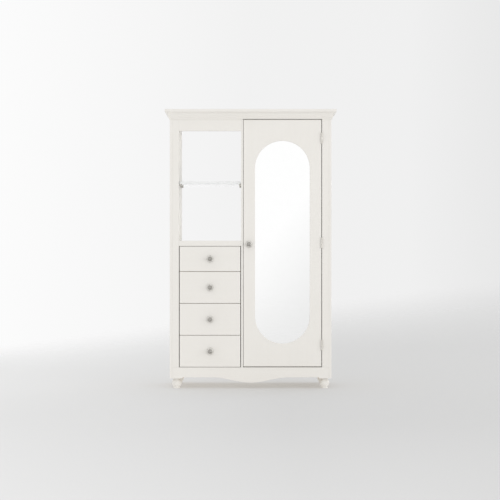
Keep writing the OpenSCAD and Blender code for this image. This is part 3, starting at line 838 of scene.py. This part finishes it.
bpy.data.objects.remove(petal)
pick_only(*ring)
bpy.ops.object.join()
bpy.ops.object.transform_apply()


bright_out = 1.06 * rosette_t


def finish_knob(piece, node, body):
    """Gives the knob's head the darker pewter, a painted dark reflection, and leaves its rosette
    bright.
    """
    fit(piece, node, body, reflection_darkened_pewter)
    piece.data.materials.append(bright_pewter)
    for face in piece.data.polygons:
        face.material_index = 1 if case_front - face.center.y < bright_out else 0


for i in (1, 2, 3, 4):
    away = middle_of(f"drawer_{i}_knob") - middle_of("door_knob")
    twin = copied(knob, f"knob_of_drawer_{i}", away)
    finish_knob(twin, f"drawer_{i}_knob", f"drawer_{i}")
finish_knob(knob, "door_knob", "door")

# ---- Drawers ----
# A painted front with a softly rounded edge, glued over a plain box of thin bare
# boards: two sides, a back between them and a thin bottom set up from the edge.

for i in (1, 2, 3, 4):
    body = f"drawer_{i}"
    front = board(body + "_painted_front", *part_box(body + "_front"))
    round_front(front, round_over)
    ease_edges(front, 0.12 * MM)
    fit(front, body + "_front", body, paint_across)
    for part, finish, radius in (("left_wall", wood_back, 0.15),
                                 ("right_wall", wood_back, 0.15),
                                 ("back", wood_across, 0.15), ("bottom", wood_back, 0.08)):
        thin = board(f"{body}_box_{part}", *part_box(f"{body}_{part}"))
        ease_edges(thin, radius * MM, steps=2)
        fit(thin, f"{body}_{part}", body, finish)

# ---- Floor ----
# A wide sheet of pale paper that fades out behind, before and beside the wardrobe. It
# glows with painted light, though it is no lamp, so it throws soft light up, and its glow
# is warmed and darkened where it is covered, as a painted contact shadow.

sheet_r, sheet_x = 3.2, 0.2
bpy.ops.object.select_all(action="DESELECT")
bpy.ops.mesh.primitive_circle_add(vertices=96, radius=sheet_r, fill_type="NGON",
                                  location=(sheet_x, 0, 0))
bpy.ops.object.transform_apply()
floor = bpy.context.active_object
floor.name = "paper_floor"
paper, tree, shader, place = new_finish("pale_paper")
fleck = noise(tree, place, 900, detail=3, rough=0.6)
tree.links.new(mixed(tree, fleck, (0.29, 0.29, 0.288, 1), (0.31, 0.31, 0.308, 1)),
               shader.inputs["Base Color"])
shader.inputs["Roughness"].default_value = 0.85
shader.inputs["Specular IOR Level"].default_value = 0.2
add_relief(tree, shader, fleck, 0.03 * MM)
apart = add_node(tree, "ShaderNodeSeparateXYZ")
tree.links.new(place, apart.inputs[0])
floor_x, floor_y = apart.outputs["X"], apart.outputs["Y"]

# Painted glow: brighter on the left, and nearly twice as strong in the light it throws as the
# lens sees it
painted_glow = add_node(tree, "ShaderNodeMapRange",
                     {"From Min": -0.17, "From Max": 0.02, "To Min": 0.475, "To Max": 0.338})
tree.links.new(floor_x, painted_glow.inputs["Value"])
ray = add_node(tree, "ShaderNodeLightPath")
less_seen = joined(tree, "MULTIPLY", ray.outputs["Is Camera Ray"], 0.8)
less_mirrored = joined(tree, "MULTIPLY", ray.outputs["Is Glossy Ray"], 0.3)
glow_by_ray = joined(tree, "SUBTRACT", joined(tree, "SUBTRACT", 1.8, less_seen), less_mirrored)
strength = joined(tree, "MULTIPLY", painted_glow.outputs[0], glow_by_ray)
# Ambient occlusion warms and darkens the glow where the paper is covered: a painted contact
# shadow
shade = add_node(tree, "ShaderNodeAmbientOcclusion", {"Distance": 0.08}, samples=16)
painted_shadow_tint = mixed(tree, shade.outputs["AO"], (0.93, 0.89, 0.835, 1), (1, 1, 1, 1))
painted_glow_colour = add_node(tree, "ShaderNodeVectorMath", operation="SCALE")
tree.links.new(painted_shadow_tint, painted_glow_colour.inputs[0])
tree.links.new(strength, painted_glow_colour.inputs["Scale"])
tree.links.new(painted_glow_colour.outputs[0], shader.inputs["Emission Color"])
shader.inputs["Emission Strength"].default_value = 1.0

# The paper fades sooner behind on the left, slowly in front, and evenly at the sides
spread = joined(tree, "MAXIMUM", scaled(tree, floor_x, 6.0, 2.14), 0.75)
fade_back = add_node(tree, "ShaderNodeMapRange",
                     {"From Min": 0.06, "From Max": 0.55, "To Min": 1.0, "To Max": 0.0},
                     interpolation_type="SMOOTHSTEP")
tree.links.new(joined(tree, "DIVIDE", floor_y, spread), fade_back.inputs["Value"])


def set_ramp(made, stops):
    """Gives a colour ramp its grey stops, in pairs of place and level."""
    ramp = made.color_ramp
    for stop in stops[1:-1]:
        ramp.elements.new(stop[0])
    for element, (at, level) in zip(ramp.elements, stops):
        element.position = at
        element.color = (level, level, level, 1)


fade_front = add_node(tree, "ShaderNodeValToRGB")
set_ramp(fade_front, [(0.10, 1.0), (0.24, 0.62), (0.40, 0.30), (0.70, 0.08), (1.00, 0.0)])
tree.links.new(joined(tree, "MULTIPLY", floor_y, -0.5), fade_front.inputs[0])
fade_side = add_node(tree, "ShaderNodeMapRange",
                     {"From Min": 0.4, "From Max": 0.9, "To Min": 1.0, "To Max": 0.0},
                     interpolation_type="SMOOTHSTEP")
tree.links.new(joined(tree, "ABSOLUTE", floor_x, None), fade_side.inputs["Value"])
faded = joined(tree, "MULTIPLY", fade_back.outputs[0], fade_front.outputs[0])
faded = joined(tree, "MULTIPLY", faded, fade_side.outputs[0])
underside = add_node(tree, "ShaderNodeNewGeometry").outputs["Backfacing"]
tree.links.new(joined(tree, "SUBTRACT", faded, underside, clamp=True), shader.inputs["Alpha"])
floor.data.materials.append(paper)

# ---- Studio light ----
# A plain pale studio: an even glow all round, a seen backdrop that falls off to the
# right, two weak softboxes in front, and a narrow lamp that looks in through the bay.

white = (1, 1, 1, 1)
world = bpy.data.worlds.new("pale_studio")
world.use_nodes = True
bpy.context.scene.world = world
tree = world.node_tree
tree.nodes.clear()
way = add_node(tree, "ShaderNodeTexCoord").outputs["Generated"]
apart = add_node(tree, "ShaderNodeSeparateXYZ")
tree.links.new(way, apart.inputs[0])
sweep = add_node(tree, "ShaderNodeMapRange", {"From Min": -0.18, "From Max": 0.18})
tree.links.new(apart.outputs["X"], sweep.inputs["Value"])
backdrop = add_node(tree, "ShaderNodeValToRGB")
set_ramp(backdrop, [(0.00, 0.975), (0.30, 0.925), (0.50, 0.885), (0.80, 0.872), (1.00, 0.80)])
tree.links.new(sweep.outputs[0], backdrop.inputs[0])
seen_light = add_node(tree, "ShaderNodeBackground")
tree.links.new(backdrop.outputs[0], seen_light.inputs["Color"])

# What the mirror shows: the studio before it, brighter above and on the left
fall = joined(tree, "SUBTRACT", scaled(tree, apart.outputs["Z"], 1.9, 1.045),
              joined(tree, "MULTIPLY", apart.outputs["X"], 2.2))
fall = joined(tree, "MAXIMUM", joined(tree, "MINIMUM", fall, 1.03), 0.80)
mirrored = add_node(tree, "ShaderNodeBackground", {"Color": white})
tree.links.new(fall, mirrored.inputs["Strength"])
glow = add_node(tree, "ShaderNodeBackground", {"Color": white})

ray = add_node(tree, "ShaderNodeLightPath")
straight = joined(tree, "MAXIMUM", ray.outputs["Is Camera Ray"],
                  ray.outputs["Is Transmission Ray"])
bounced = add_node(tree, "ShaderNodeMixShader")
tree.links.new(ray.outputs["Is Glossy Ray"], bounced.inputs[0])
tree.links.new(glow.outputs[0], bounced.inputs[1])
tree.links.new(mirrored.outputs[0], bounced.inputs[2])
studio = add_node(tree, "ShaderNodeMixShader")
tree.links.new(straight, studio.inputs[0])
tree.links.new(bounced.outputs[0], studio.inputs[1])
tree.links.new(seen_light.outputs[0], studio.inputs[2])
out = add_node(tree, "ShaderNodeOutputWorld")
tree.links.new(studio.outputs[0], out.inputs["Surface"])


def hang_lamp(name, kind, place, aim, watts, **settings):
    """A lamp at a place, turned to an aim, that the lens doesn't see."""
    lamp = bpy.data.lights.new(name, kind)
    lamp.energy = watts
    for key, value in settings.items():
        setattr(lamp, key, value)
    stand = bpy.data.objects.new(name, lamp)
    stand.location = place
    stand.rotation_euler = (Vector(aim) - Vector(place)).to_track_quat("-Z", "Y").to_euler()
    stand.visible_camera = False
    bpy.context.collection.objects.link(stand)
    return stand


case_middle, bay_middle = (0, 0, 0.08), (-0.03, 0, 0.12)
hang_lamp("key_softbox", "AREA", (-0.65, -1.25, 0.60), case_middle, 0.3, size=0.8)
hang_lamp("side_fill", "AREA", (0.95, -0.70, 0.12), case_middle, 2.2, size=0.6)
bay_fill = hang_lamp("bay_fill", "SPOT", (0.75, 0.80, 0.25), bay_middle, 16,
                     spot_size=math.radians(15), spot_blend=0.6, shadow_soft_size=0.15)
bay_fill.visible_transmission = False

# ---- Camera ----
# A long lens, level with the middle of the wardrobe and square to its front, far enough
# off that only a little of the bay's inner walls shows.

lens_x, lens_z, stand_off = -0.4 * MM, 88 * MM, 0.93
view_w, film_w = 317.85 * MM, 36
camera = bpy.data.cameras.new("front_camera")
camera.sensor_width = film_w
camera.lens = film_w * stand_off / view_w
camera.clip_start = 0.01
camera.clip_end = 20
eye = bpy.data.objects.new("front_camera", camera)
eye.location = (lens_x, case_front - stand_off, lens_z)
eye.rotation_euler = (math.radians(90), 0, 0)
bpy.context.collection.objects.link(eye)
bpy.context.scene.camera = eye
bpy.context.scene.view_settings.view_transform = "Standard"
